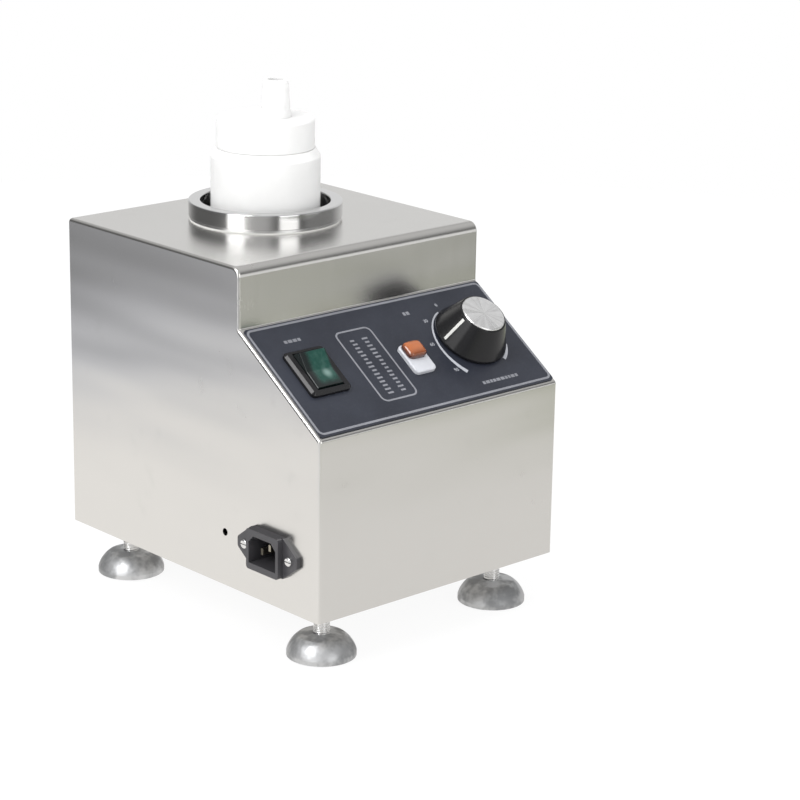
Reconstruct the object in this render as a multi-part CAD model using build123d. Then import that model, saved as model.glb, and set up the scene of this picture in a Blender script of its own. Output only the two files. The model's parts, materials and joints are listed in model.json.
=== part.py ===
from build123d import *
import os
from math import atan2, cos, degrees, hypot, radians, sin, tan

# Sizes are in millimetres. X runs across the front, the user stands at -Y, the floor is Z 0.

# Housing
bodyWidth = 192.0
bodyDepth = 240.0
bodyHeight = 198.0
noseHeight = 111.0  # upright front face under the panel
browHeight = 37.3  # upright face above the panel
browSetback = 72.6  # from the front face back to the brow
sheet = 1.2
sideEdgeRadius = 2.0
noseRadius = 2.6
hollowRadius = 1.5
browRadius = 6.0
rearRadius = 3.0
returnFlange = 12.0
baseThickness = 1.5
baseGap = 0.3  # round the base plate inside the skirt
basePlateCorner = 1.5

# Feet
footHeight = 33.3
footInsetX = 25.6
footInsetY = 26.5
bellRadius = 21.0
bellRim = 3.5
bellShoulder = 18.2  # radius halfway up the bell's curve
bellShoulderHeight = 9.3
bellTopRadius = 14.0
bellTopHeight = 13.3
bellPeakHeight = 14.6
bellPeakWidth = 1.0  # the flat ring round the stud
studRadius = 5.0
studSeat = 7.0  # the stud's lower end, above the floor
footTravel = 10.0
studSpare = 2.0  # stud above its insert with the foot fully out
studTip = 1.2
studHoleGap = 0.6
padRadius = 18.8
padThickness = 2.0
padProud = 0.8
padEdge = 0.6
insertFlats = 17.0
insertHeight = 8.0

# Heated well and collar
wellFromBack = 76.0
wellBore = 40.0
wellWall = 1.5
wellDepth = 148.0  # from the collar's top down to the well's floor
wellCornerRadius = 8.0
wellHoleGap = 1.0  # round the well in the top plate
flangeRadius = 47.4
flangeThickness = 1.5
gasketThickness = 0.8
gasketGap = 0.3
collarRadius = 48.0
collarBore = 40.5
collarHeight = 12.0  # above the top plate, gasket and flange included
collarEdge = 0.8
collarScrews = 4
collarScrewCircle = 44.3
collarScrewDepth = 6.0
collarScrewRadius = 1.5
collarHeadRadius = 2.7
collarHeadHeight = 1.8
holeSpare = 0.4  # a blind hole goes this much deeper than its screw

# Heater and insulation
heaterThickness = 3.0
heaterHeight = 84.0
heaterLift = 14.0  # above the well's underside
heaterGapAngle = 24.0
heaterLeadAngle = 20.0
strapThickness = 0.8
strapWidth = 16.0
strapEar = 10.5
jacketThickness = 11.0
jacketTopGap = 16.0
jacketOverlap = 6.0  # below the band heater
jacketSlitGap = 4.0  # beside the strap screws
bulbRadius = 2.5
bulbLength = 60.0
bulbEdge = 1.0
clipThickness = 0.8
clipLength = 12.0
cutoutRadius = 8.5
cutoutHeight = 7.0
cutoutEdge = 1.0
cutoutPegGap = 4.0
cutoutStrapEnd = 5.0
cutoutStrapWidth = 9.0
cutoutStrapThickness = 1.5
wellPegRadius = 2.0
wellPegHeight = 6.4

# Bottle
bottleRadius = 34.1
bottleWall = 1.4
bottleShoulder = 176.0  # from the well's floor to the top of the straight side
shoulderRise = 5.0
shoulderRadius = 31.0
neckRadius = 28.0
neckWall = 1.8
neckHeight = 16.0
capRadius = 30.5
capHeight = 19.0
capWall = 2.0
capGap = 0.3
capEdge = 1.8
capFootEdge = 0.6
sealThickness = 1.0
bottleFootRadius = 5.0
bottleEdge = 1.5
neckEdge = 0.5
innerShoulderRise = 1.0
innerShoulderDrop = 3.0
innerNeckRadius = 2.0
sealInset = 0.1
spoutOffset = 6.2  # the spout stands off the bottle's axis
spoutBearing = -43.0
bossOffset = 3.4
bossRadius = 12.6
bossHeight = 5.0
spoutBaseRadius = 9.0
spoutTipRadius = 7.9
spoutHeight = 18.0
spoutBore = 5.2
spoutEdge = 0.7

# Control panel
panelThickness = 1.0
panelMarginSide = 2.0
panelMarginLow = 1.8
panelMarginHigh = 1.3
panelCorner = 2.0

# Dial knob and thermostat
knobInset = 39.0  # from the housing's right side
knobV = 46.5  # up the slope from its lower edge
knobBaseRadius = 23.5
knobTopRadius = 14.9
knobHeight = 22.2  # top of the silver cap above the steel slope
knobLift = 0.8
knobRim = 1.6
knobFootEdge = 0.4
knobRimEdge = 0.8
knobTopEdge = 0.6
knobWall = 2.2
knobInnerRadius = 1.0
knobHubRadius = 6.5
knobCapRadius = 14.1
knobCapThickness = 1.8
knobCapRecess = 0.9
knobCapEdge = 1.2
pointerWidth = 1.9
pointerProud = 0.3
pointerSink = 0.8
pointerShort = 3.0  # shorter than the skirt's slant
shaftRadius = 3.0
shaftFlat = 1.4  # depth of the flat on the shaft
shaftSink = 4.0  # shaft's end below the silver cap
shaftEndGap = 0.5
flatStart = 1.5  # above the bush
bushRadius = 4.5
bushBoss = 1.6
bushRun = 0.5  # between the bush and the knob's hub
thermostatWidth = 38.0
thermostatLength = 34.0
thermostatDepth = 24.0
thermostatCorner = 3.0
bridgeWidth = 38.0
bridgeLength = 15.0
bridgeThickness = 2.0
thermostatScrewSpan = 28.0
panelScrewReach = 4.0  # into the thermostat's case
panelHeadRadius = 3.2
panelHeadHeight = 1.0

# Switch
switchInset = 29.3  # from the housing's left side
switchV = 46.0
bezelWidth = 30.0
bezelLength = 34.4
bezelHeight = 3.4
bezelCorner = 3.0
bezelChamfer = 1.5
switchBodyWidth = 26.6
switchBodyLength = 31.0
switchDepth = 27.0
rockerWidth = 19.6
rockerRadius = 14.0
rockerCornerAngle = 33.0
rockerDip = 5.6  # height of the middle of the rocker over its pin
rockerTilt = 12.0
rockerGap = 0.3
rockerLowerAngle = 16.0
rockerUnder = 0.8  # free room below the rocker
rockerEdge = 0.9
switchPinRadius = 1.5
switchPinReach = 1.8
switchPinEndGap = 0.2
bladeWidth = 6.3
bladeThickness = 0.8
bladeLength = 9.0
switchBladeSpanU = 12.0
switchBladeSpanV = 14.0

# Indicator lamp
lampFromKnob = 50.2
lampV = 39.0
lampWidth = 16.6
lampLength = 22.2
lampHeight = 2.6
lampCorner = 3.0
lampEdge = 1.0
lampDepth = 20.0
lampBodyWidth = 12.6
lampBodyLength = 17.0
lensWidth = 14.0
lensLength = 11.8
lensV = 43.8
lensCorner = 3.4
lensSunk = 1.2
lensRise = 4.6
lensEdge = 2.6
lampBladeWidth = 4.8
lampBladeSpan = 8.0

# Mains inlet on the left side
inletFromFront = 43.5
inletUp = 33.0
inletScrewSpan = 40.0
earSpan = 54.0
earThickness = 2.6
earTipWidth = 6.0
earCorner = 2.4
inletCorner = 2.0
inletScrewRadius = 1.5
inletHeadRadius = 2.9
inletHeadHeight = 1.7
inletNutFlats = 5.5
inletNutHeight = 2.4
inletBlockWidth = 29.0
inletBlockHeight = 25.0
inletProud = 6.4
inletDepth = 22.0
inletBodyWidth = 27.0
inletBodyHeight = 19.6
socketWidth = 24.4
socketHeight = 17.2
socketDepth = 21.0
socketChamfer = 4.2
pinWide = 4.0
pinThin = 2.0
pinReach = 15.0
pinTail = 9.0
pinSpread = 7.0
earthPinRise = 2.0
linePinDrop = 2.0
accessHoleBehind = 41.9  # behind the middle of the inlet
accessHoleUp = 33.7
accessHoleRadius = 2.3

# Small fastenings
smallScrewRadius = 2.0
smallHeadRadius = 3.8
smallHeadHeight = 2.2
screwClearance = 0.2
runningGap = 0.05
seatGap = 0.05
nutFlats = 7.0
nutHeight = 3.2
screwReach = 4.0  # a screw's end past what it holds
screwTail = 1.0  # a screw's end past its nut
cutOver = 1.0  # how far a cutting shape runs past the face that it cuts

# Inside the housing
blockLength = 42.0
blockWidth = 20.0
blockHeight = 18.0
blockInset = 76.0  # from the left side to the middle of the block
blockFromFront = 42.0
blockWays = 4
blockBoreRadius = 2.6
blockBoreRise = 8.1
blockCorner = 1.5
blockNotch = 1.2
blockNotchDepth = 4.5
terminalScrewRadius = 2.0
terminalScrewSpan = 10.0
terminalScrewSunk = 1.3
earthInset = 34.0
earthFromFront = 60.0
earthStudHeight = 18.0
earthHeadHeight = 1.2
wireRadius = 1.1
wireInBore = 4.0  # how far a wire reaches into the terminal block
wireStub = 12.0  # straight end of a wire on its blade
bendShare = 0.45
capillaryRadius = 0.6
ventSlots = 6
ventLength = 56.0
ventWidth = 4.0
ventPitch = 12.0

# Worked-out places
baseZ = footHeight
topZ = baseZ + bodyHeight
wellY = bodyDepth / 2 - wellFromBack
knobU = bodyWidth / 2 - knobInset
switchU = switchInset - bodyWidth / 2
lampU = knobU - lampFromKnob
inletAlong = bodyDepth / 2 - inletFromFront  # towards the front, from the middle of the body
accessHoleAlong = inletAlong - accessHoleBehind
blockX = blockInset - bodyWidth / 2
blockY = blockFromFront - bodyDepth / 2
earthX = earthInset - bodyWidth / 2
earthY = earthFromFront - bodyDepth / 2
slopeRise = bodyHeight - noseHeight - browHeight
slopeLength = hypot(browSetback, slopeRise)
slopeAngle = degrees(atan2(slopeRise, browSetback))
wellOuter = wellBore + wellWall
collarTopZ = topZ + collarHeight
wellFloorZ = collarTopZ - wellDepth
flangeTopZ = topZ + gasketThickness + flangeThickness
frontY = -bodyDepth / 2
leftX = -bodyWidth / 2
wellPlace = Pos(0, wellY, 0)
panelPlane = Plane(
    origin=(0, frontY, baseZ + noseHeight),
    x_dir=(1, 0, 0),
    z_dir=(0, -sin(radians(slopeAngle)), cos(radians(slopeAngle))),
)
sidePlane = Plane(origin=(leftX, 0, baseZ), x_dir=(0, -1, 0), z_dir=(-1, 0, 0))
footPlaces = {
    "front_left": (footInsetX - bodyWidth / 2, footInsetY - bodyDepth / 2),
    "front_right": (bodyWidth / 2 - footInsetX, footInsetY - bodyDepth / 2),
    "rear_left": (footInsetX - bodyWidth / 2, bodyDepth / 2 - footInsetY),
    "rear_right": (bodyWidth / 2 - footInsetX, bodyDepth / 2 - footInsetY),
}
nodes = {}


# A solid turned about Z from corners (radius, height) or (radius, height, corner radius)
def turned(*corners):
    points = [(corner[0], corner[1]) for corner in corners]
    radii = [corner[2] if len(corner) > 2 else 0 for corner in corners]
    outline = FilletPolyline(*points, radius=radii, close=True)
    return revolve(Plane.XZ * make_face(outline), Axis.Z)


# A plain round bar standing on z
def bar(radius, height, z=0.0):
    return Pos(0, 0, z) * extrude(Circle(radius), height)


def ring(outer, inner, height, z=0.0):
    return Pos(0, 0, z) * extrude(Circle(outer) - Circle(inner), height)


# A block centred in x and y, standing on z
def block(width, length, height, z=0.0):
    return Pos(0, 0, z + height / 2) * Box(width, length, height)


def roundedBlock(width, length, height, corner, z=0.0):
    return Pos(0, 0, z) * extrude(RectangleRounded(width, length, corner), height)


# A pan-head screw pointing up, with the underside of its head at z 0
def panScrew(radius, headRadius, headHeight, length):
    head = turned((0, -headHeight), (headRadius, -headHeight, headHeight * 0.6), (headRadius, 0), (0, 0))
    slot = block(headRadius * 2.4, radius * 0.45, headHeight * 0.45, -headHeight)
    return head + bar(radius, length) - slot


def hexNut(flats, bore, height, z=0.0):
    return Pos(0, 0, z) * extrude(RegularPolygon(flats / 2, 6, major_radius=False) - Circle(bore), height)


# Several loose solids that share one node
def joined(parts):
    return Compound([solid for piece in parts for solid in piece.solids()])


# Side outline of the housing: front face, slope, brow, top and back
def housingOutline():
    corners = [
        (frontY, baseZ),
        (frontY, baseZ + noseHeight),
        (frontY + browSetback, topZ - browHeight),
        (frontY + browSetback, topZ),
        (bodyDepth / 2, topZ),
        (bodyDepth / 2, baseZ),
    ]
    radii = [0, noseRadius, hollowRadius, browRadius, rearRadius, 0]
    return Plane.YZ * make_face(FilletPolyline(*corners, radius=radii, close=True))


def collarScrewPlaces():
    return PolarLocations(collarScrewCircle, collarScrews, start_angle=45)


# Cuts that the slope and the panel share, in the panel's own frame
def panelCuts():
    depth = sheet + panelThickness + 2 * cutOver
    low = -sheet - cutOver
    switchHole = Pos(switchU, switchV) * block(
        switchBodyWidth + 2 * screwClearance, switchBodyLength + 2 * screwClearance, depth, low
    )
    lampHole = Pos(lampU, lampV) * block(
        lampBodyWidth + 2 * screwClearance, lampBodyLength + 2 * screwClearance, depth, low
    )
    bushHole = Pos(knobU, knobV) * bar(bushRadius + screwClearance, depth, low)
    screwHoles = [
        Pos(knobU + side * thermostatScrewSpan / 2, knobV)
        * bar(smallScrewRadius + screwClearance, depth, low)
        for side in (-1, 1)
    ]
    return [switchHole, lampHole, bushHole] + screwHoles


def outerShell():
    outline = housingOutline()
    outer = extrude(outline, bodyWidth / 2, both=True)
    sideEdges = [
        edge
        for edge in outer.edges()
        if abs(abs(edge.center().X) - bodyWidth / 2) < 0.01 and edge.center().Z > baseZ + 0.01
    ]
    outer = fillet(sideEdges, sideEdgeRadius)
    innerWidth = bodyWidth - 2 * sheet
    innerDepth = bodyDepth - 2 * sheet
    cavity = extrude(offset(outline, -sheet), innerWidth / 2, both=True)
    mouth = block(innerWidth, innerDepth, 2 * sheet + cutOver, baseZ - cutOver)
    lip = block(innerWidth, innerDepth, sheet, baseZ + baseThickness) - block(
        innerWidth - 2 * returnFlange, innerDepth - 2 * returnFlange, sheet, baseZ + baseThickness
    )
    shell = outer - cavity - mouth + lip
    shell -= wellPlace * bar(wellOuter + wellHoleGap, 3 * sheet, topZ - 2 * sheet)
    for place in collarScrewPlaces():
        shell -= wellPlace * place * bar(collarScrewRadius + screwClearance, 3 * sheet, topZ - 2 * sheet)
    for cut in panelCuts():
        shell -= panelPlane * cut
    inletHole = Pos(inletAlong, inletUp) * block(
        inletBodyWidth + 2 * screwClearance, inletBodyHeight + 2 * screwClearance, 3 * sheet, -2 * sheet
    )
    shell -= sidePlane * inletHole
    for side in (-1, 1):
        hole = bar(inletScrewRadius + screwClearance, 3 * sheet, -2 * sheet)
        shell -= sidePlane * Pos(inletAlong + side * inletScrewSpan / 2, inletUp) * hole
    shell -= sidePlane * Pos(accessHoleAlong, accessHoleUp) * bar(accessHoleRadius, 3 * sheet, -2 * sheet)
    for x, y in baseScrewPlaces():
        hole = bar(smallScrewRadius + screwClearance, sheet + 2 * cutOver, baseZ + baseThickness - cutOver)
        shell -= Pos(x, y) * hole
    return shell


# Base plate screws: along both sides, and one in the middle of the front and the back
def baseScrewPlaces():
    sideX = bodyWidth / 2 - sheet - returnFlange / 2
    endY = bodyDepth / 2 - sheet - returnFlange / 2
    sideY = endY * 0.6
    along = [(side * sideX, y) for side in (-1, 1) for y in (-sideY, 0, sideY)]
    return along + [(0, -endY), (0, endY)]


def basePlate():
    width = bodyWidth - 2 * sheet - 2 * baseGap
    depth = bodyDepth - 2 * sheet - 2 * baseGap
    plate = roundedBlock(width, depth, baseThickness, basePlateCorner, baseZ)
    through = baseThickness + 2 * cutOver
    low = baseZ - cutOver
    for x, y in footPlaces.values():
        plate -= Pos(x, y) * bar(studRadius + studHoleGap, through, low)
    for x, y in baseScrewPlaces():
        plate -= Pos(x, y) * bar(smallScrewRadius + screwClearance, through, low)
    slot = Pos(0, 0, low) * extrude(SlotOverall(ventLength, ventWidth), through)
    for row in range(ventSlots):
        y = wellY + (row - (ventSlots - 1) / 2) * ventPitch
        plate -= Pos(0, y) * slot
    plate -= Pos(earthX, earthY) * bar(smallScrewRadius + runningGap, through, low)
    return plate


def baseScrews():
    length = baseThickness + sheet + screwReach
    screw = panScrew(smallScrewRadius, smallHeadRadius, smallHeadHeight, length)
    return joined([Pos(x, y, baseZ) * screw for x, y in baseScrewPlaces()])


def footInserts():
    insert = hexNut(insertFlats, studRadius + runningGap, insertHeight, baseZ + baseThickness)
    return joined([Pos(x, y) * insert for x, y in footPlaces.values()])


# Foot bell: a rim, a full curve up to a broad shoulder, and a nearly flat top round the stud
def footBell():
    side = ThreePointArc(
        (bellRadius, bellRim), (bellShoulder, bellShoulderHeight), (bellTopRadius, bellTopHeight)
    )
    rest = Polyline(
        (bellTopRadius, bellTopHeight),
        (studRadius + bellPeakWidth, bellPeakHeight),
        (studRadius + seatGap, bellPeakHeight),
        (studRadius + seatGap, studSeat),
        (0, studSeat),
        (0, padThickness),
        (padRadius + seatGap, padThickness),
        (padRadius + seatGap, padProud),
        (bellRadius, padProud),
        (bellRadius, bellRim),
    )
    return revolve(Plane.XZ * make_face([side, rest]), Axis.Z)


def footStud():
    top = baseZ + baseThickness + insertHeight + footTravel + studSpare
    return turned((0, studSeat), (studRadius, studSeat), (studRadius, top, studTip), (0, top))


def footPad():
    return turned((0, 0), (padRadius, 0, padEdge), (padRadius, padThickness), (0, padThickness))


def collarRing():
    low = flangeTopZ
    body = turned(
        (collarBore, low),
        (collarRadius, low, collarEdge / 2),
        (collarRadius, collarTopZ, collarEdge),
        (collarBore, collarTopZ, collarEdge),
    )
    for place in collarScrewPlaces():
        depth = collarScrewDepth + holeSpare + cutOver
        body -= place * bar(collarScrewRadius + seatGap, depth, low - cutOver)
    return wellPlace * body


def collarGasket():
    seal = ring(flangeRadius, wellOuter + gasketGap, gasketThickness, topZ)
    for place in collarScrewPlaces():
        through = gasketThickness + 2 * cutOver
        seal -= place * bar(collarScrewRadius + screwClearance, through, topZ - cutOver)
    return wellPlace * seal


def collarScrewSet():
    stack = sheet + gasketThickness + flangeThickness + collarScrewDepth
    screw = panScrew(collarScrewRadius, collarHeadRadius, collarHeadHeight, stack)
    return joined([wellPlace * place * Pos(0, 0, topZ - sheet) * screw for place in collarScrewPlaces()])


def heatingWell():
    cup = turned(
        (wellBore, flangeTopZ),
        (wellBore, wellFloorZ, wellCornerRadius),
        (0, wellFloorZ),
        (0, wellFloorZ - wellWall),
        (wellOuter, wellFloorZ - wellWall, wellCornerRadius + wellWall),
        (wellOuter, flangeTopZ - flangeThickness),
        (flangeRadius, flangeTopZ - flangeThickness),
        (flangeRadius, flangeTopZ),
    )
    for place in collarScrewPlaces():
        through = flangeTopZ - topZ + 2 * cutOver
        cup -= place * bar(collarScrewRadius + screwClearance, through, topZ - cutOver)
    for side in (-1, 1):
        reach = wellPegHeight + cutoutHeight
        peg = bar(wellPegRadius, reach, wellFloorZ - wellWall - reach)
        cup += Pos(side * cutoutPegSpan() / 2, 0) * peg
    return wellPlace * cup


def cutoutPegSpan():
    return 2 * (cutoutRadius + wellPegRadius + cutoutPegGap)


# An open band round the well, with its gap towards the front
def openBand(inner, thickness, height, gapAngle, z):
    half = gapAngle / 2
    band = ring(inner + thickness, inner, height, z)
    reach = 2 * (inner + thickness)
    wedge = make_face(
        Polyline(
            (0, 0),
            (reach * sin(radians(half)), -reach * cos(radians(half))),
            (-reach * sin(radians(half)), -reach * cos(radians(half))),
            close=True,
        )
    )
    return band - Pos(0, 0, z - cutOver) * extrude(wedge, height + 2 * cutOver)


def heaterLowZ():
    return wellFloorZ - wellWall + heaterLift


def heaterBand():
    inner = wellOuter + seatGap
    return wellPlace * openBand(inner, heaterThickness, heaterHeight, heaterGapAngle, heaterLowZ())


# Two steel straps hold the band heater, each drawn together by a screw through its turned-out ears
def strapPlaces():
    return [heaterLowZ() + heaterHeight * share - strapWidth / 2 for share in (0.2, 0.8)]


def strapInner():
    return wellOuter + seatGap + heaterThickness + seatGap


def heaterStraps():
    straps = []
    gap = heaterGapAngle - 2
    for z in strapPlaces():
        strap = openBand(strapInner(), strapThickness, strapWidth, gap, z)
        for side in (-1, 1):
            ear = Pos(side * earX(), earY(), z + strapWidth / 2) * Box(strapThickness, strapEar, strapWidth)
            ear -= Pos(side * earX(), earY(), z + strapWidth / 2) * Rot(0, 90, 0) * Cylinder(
                smallScrewRadius + screwClearance, 4 * strapThickness
            )
            strap += ear
        straps.append(wellPlace * strap)
    return joined(straps)


def earX():
    return (strapInner() + strapThickness / 2) * sin(radians(heaterGapAngle / 2 - 1)) + strapThickness / 2


def earY():
    bandY = (strapInner() + strapThickness) * cos(radians(heaterGapAngle / 2 - 1))
    return strapThickness - bandY - strapEar / 2


def strapScrews():
    screws = []
    reach = 2 * earX() + strapThickness
    for z in strapPlaces():
        length = reach + nutHeight + 2 * screwTail
        screw = Rot(0, 90, 0) * panScrew(smallScrewRadius, smallHeadRadius, smallHeadHeight, length)
        nut = Rot(0, 90, 0) * hexNut(nutFlats, smallScrewRadius + seatGap, nutHeight, reach)
        middle = Pos(-reach / 2, wellY + earY(), z + strapWidth / 2)
        screws += [middle * screw, middle * nut]
    return joined(screws)


# Mineral wool jacket, slit at the front where the straps' ears and the sensor pass
def insulationJacket():
    jacketInner = strapInner() + strapThickness + seatGap
    low = heaterLowZ() - jacketOverlap
    height = topZ - sheet - jacketTopGap - low
    jacket = ring(jacketInner + jacketThickness, jacketInner, height, low)
    slitWidth = 2 * (earX() + 2 * smallHeadHeight + jacketSlitGap)
    slit = block(slitWidth, 3 * jacketThickness, height + 2 * cutOver, low - cutOver)
    slit = Pos(0, -jacketInner - jacketThickness / 2, 0) * slit
    return wellPlace * (jacket - slit)


def sensorBulb():
    middle = heaterLowZ() + heaterHeight / 2
    y = -(wellOuter + seatGap + bulbRadius)
    low = middle - bulbLength / 2
    high = middle + bulbLength / 2
    bulb = turned((0, low), (bulbRadius, low, bulbEdge), (bulbRadius, high, bulbEdge), (0, high))
    return Pos(0, wellY + y, 0) * bulb


# A spring clip that hugs the bulb and bears on the heater band's edges
def bulbClip():
    middle = heaterLowZ() + heaterHeight / 2
    inner = bulbRadius + seatGap
    low = middle - clipLength / 2
    hug = ring(inner + clipThickness, inner, clipLength, low)
    hug -= Pos(0, inner, 0) * block(4 * inner, 2 * inner, clipLength + 2 * cutOver, low - cutOver)
    legs = [
        Pos(side * (inner + clipThickness / 2), inner / 2, middle) * Box(clipThickness, inner, clipLength)
        for side in (-1, 1)
    ]
    clip = hug + legs[0] + legs[1]
    return Pos(0, wellY - (wellOuter + seatGap + bulbRadius), 0) * clip


def thermalCutout():
    top = wellFloorZ - wellWall
    low = top - cutoutHeight
    disc = turned((0, low), (cutoutRadius, low, cutoutEdge), (cutoutRadius, top), (0, top))
    return wellPlace * disc


def cutoutBracket():
    z = wellFloorZ - wellWall - cutoutHeight - cutoutStrapThickness
    length = cutoutPegSpan() + 2 * cutoutStrapEnd
    strap = Pos(0, 0, z) * extrude(SlotOverall(length, cutoutStrapWidth), cutoutStrapThickness)
    for side in (-1, 1):
        hole = bar(wellPegRadius + seatGap, cutoutStrapThickness + 2 * cutOver, z - cutOver)
        strap -= Pos(side * cutoutPegSpan() / 2, 0) * hole
    nut = hexNut(nutFlats, wellPegRadius + seatGap, nutHeight, z - nutHeight)
    nuts = [Pos(side * cutoutPegSpan() / 2, 0) * nut for side in (-1, 1)]
    return joined([wellPlace * piece for piece in [strap] + nuts])


def bottleBody():
    low = wellFloorZ
    shoulder = low + bottleShoulder
    neckLow = shoulder + shoulderRise
    neckTop = neckLow + neckHeight
    inside = bottleRadius - bottleWall
    body = turned(
        (0, low),
        (bottleRadius, low, bottleFootRadius),
        (bottleRadius, shoulder, bottleEdge),
        (shoulderRadius, neckLow, neckEdge),
        (neckRadius, neckLow),
        (neckRadius, neckTop, neckEdge),
        (neckRadius - neckWall, neckTop, neckEdge),
        (neckRadius - neckWall, shoulder + innerShoulderRise, innerNeckRadius),
        (inside, shoulder - innerShoulderDrop, innerShoulderDrop),
        (inside, low + bottleWall, bottleFootRadius - bottleWall),
        (0, low + bottleWall),
    )
    return wellPlace * body


def capLowZ():
    return wellFloorZ + bottleShoulder + shoulderRise


def bottleCap():
    low = capLowZ()
    top = low + capHeight
    cap = turned(
        (0, low + neckHeight + sealThickness),
        (neckRadius + capGap, low + neckHeight + sealThickness),
        (neckRadius + capGap, low),
        (capRadius, low, capFootEdge),
        (capRadius, top, capEdge),
        (0, top),
    )
    cap -= spoutPlace() * bar(spoutBore + capWall, 3 * capHeight, low)
    return wellPlace * cap


def spoutPlace():
    return Rot(0, 0, spoutBearing) * Pos(spoutOffset, 0, 0)


def capSeal():
    low = capLowZ() + neckHeight
    disc = bar(neckRadius - sealInset, sealThickness, low)
    disc -= spoutPlace() * bar(spoutBore + capWall, sealThickness + 2 * cutOver, low - cutOver)
    return wellPlace * disc


# The spout: a leaning boss on the cap, a tapered tube above it and a spigot down through the cap
def bottleSpout():
    top = capLowZ() + capHeight
    bossFoot = Plane(origin=(bossOffset, 0, top)) * Circle(bossRadius)
    bossHead = Plane(origin=(spoutOffset, 0, top + bossHeight)) * Circle(spoutBaseRadius)
    boss = loft([bossFoot, bossHead])
    tube = Pos(spoutOffset, 0, top) * turned(
        (0, bossHeight),
        (spoutBaseRadius, bossHeight),
        (spoutTipRadius, bossHeight + spoutHeight, spoutEdge),
        (0, bossHeight + spoutHeight),
    )
    spigotLow = capLowZ() + neckHeight
    spigot = Pos(spoutOffset, 0, 0) * bar(spoutBore + capWall - seatGap, top - spigotLow, spigotLow)
    spout = boss + tube + spigot
    spout -= Pos(spoutOffset, 0, 0) * bar(spoutBore, 4 * spoutHeight, spigotLow - cutOver)
    return wellPlace * Rot(0, 0, spoutBearing) * spout


def controlPanel():
    width = bodyWidth - 2 * panelMarginSide
    length = slopeLength - panelMarginLow - panelMarginHigh
    plate = Pos(0, panelMarginLow + length / 2) * roundedBlock(width, length, panelThickness, panelCorner)
    for cut in panelCuts():
        plate -= cut
    return panelPlane * plate


def knobLowH():
    return panelThickness + knobLift


# Dial knob: a hollow tapered skirt with a rim, a flat top that seats the silver cap and a bored hub
def dialKnob():
    low = knobLowH()
    top = knobHeight - knobCapThickness + knobCapRecess
    skirt = turned(
        (0, low),
        (knobBaseRadius, low, knobFootEdge),
        (knobBaseRadius, low + knobRim, knobRimEdge),
        (knobTopRadius, top, knobTopEdge),
        (knobCapRadius + seatGap, top),
        (knobCapRadius + seatGap, top - knobCapRecess),
        (0, top - knobCapRecess),
    )
    inside = turned(
        (knobHubRadius, low - cutOver),
        (knobBaseRadius - knobWall, low - cutOver),
        (knobBaseRadius - knobWall, low + knobRim),
        (knobTopRadius - knobWall, top - knobCapRecess - knobWall, knobInnerRadius),
        (knobHubRadius, top - knobCapRecess - knobWall),
    )
    hubEnd = panelThickness + bushBoss + bushRun
    hubCut = bar(knobHubRadius + cutOver, hubEnd - low + cutOver, low - cutOver)
    knob = skirt - inside - hubCut
    knob -= shaftForm(runningGap / 2, low - 2 * cutOver)
    return panelPlane * Pos(knobU, knobV) * (knob - pointerGroove())


# The shaft's round and its flat; used grown by a gap for the bore
def shaftForm(gap, low):
    top = shaftTopH() + gap
    rod = bar(shaftRadius + gap, top - low, low)
    flat = Pos(0, shaftRadius - shaftFlat + gap + shaftRadius, 0) * block(
        4 * shaftRadius, 2 * shaftRadius, top - flatLowH() + cutOver, flatLowH()
    )
    return rod - flat


def shaftTopH():
    return knobHeight - knobCapThickness - shaftSink


def flatLowH():
    return panelThickness + bushBoss + flatStart


def thermostatShaft():
    low = -sheet - bridgeThickness - thermostatDepth / 2
    return panelPlane * Pos(knobU, knobV) * shaftForm(0, low)


# The pointer lies in a shallow groove down the left side of the skirt
def pointerStrip(width, sink, proud):
    low = knobLowH() + knobRim
    top = knobHeight - knobCapThickness + knobCapRecess
    run = knobBaseRadius - knobTopRadius
    rise = top - low
    length = hypot(run, rise)
    lean = degrees(atan2(run, rise))
    middle = Pos(-(knobBaseRadius + knobTopRadius) / 2, 0, (low + top) / 2)
    strip = Box(sink + proud, width, length - pointerShort)
    return middle * Rot(0, lean, 0) * Pos((sink - proud) / 2, 0, 0) * strip


def pointerGroove():
    return pointerStrip(pointerWidth + 2 * seatGap, pointerSink, cutOver)


def knobPointer():
    return panelPlane * Pos(knobU, knobV) * pointerStrip(pointerWidth, pointerSink, pointerProud)


def knobCap():
    top = knobHeight
    low = top - knobCapThickness
    disc = turned((0, low), (knobCapRadius, low), (knobCapRadius, top, knobCapEdge), (0, top))
    return panelPlane * Pos(knobU, knobV) * disc


def thermostatBody():
    high = -sheet
    bridge = block(bridgeWidth, bridgeLength, bridgeThickness, high - bridgeThickness)
    caseLow = high - bridgeThickness - thermostatDepth
    case = roundedBlock(thermostatWidth, thermostatLength, thermostatDepth, thermostatCorner, caseLow)
    bush = bar(bushRadius, sheet + panelThickness + bushBoss, high)
    body = bridge + case + bush
    boreLow = high - bridgeThickness - thermostatDepth / 2 - shaftEndGap
    body -= bar(shaftRadius + runningGap, panelThickness + bushBoss + cutOver - boreLow, boreLow)
    holeLow = high - bridgeThickness - panelScrewReach - holeSpare
    for side in (-1, 1):
        hole = bar(smallScrewRadius + seatGap, high + cutOver - holeLow, holeLow)
        body -= Pos(side * thermostatScrewSpan / 2, 0) * hole
    return panelPlane * Pos(knobU, knobV) * body


def thermostatScrews():
    length = panelThickness + sheet + bridgeThickness + panelScrewReach
    screw = panScrew(smallScrewRadius, panelHeadRadius, panelHeadHeight, length)
    screw = Pos(0, 0, panelThickness) * Rot(180, 0, 0) * screw
    places = [panelPlane * Pos(knobU + side * thermostatScrewSpan / 2, knobV) for side in (-1, 1)]
    return joined([place * screw for place in places])


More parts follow.
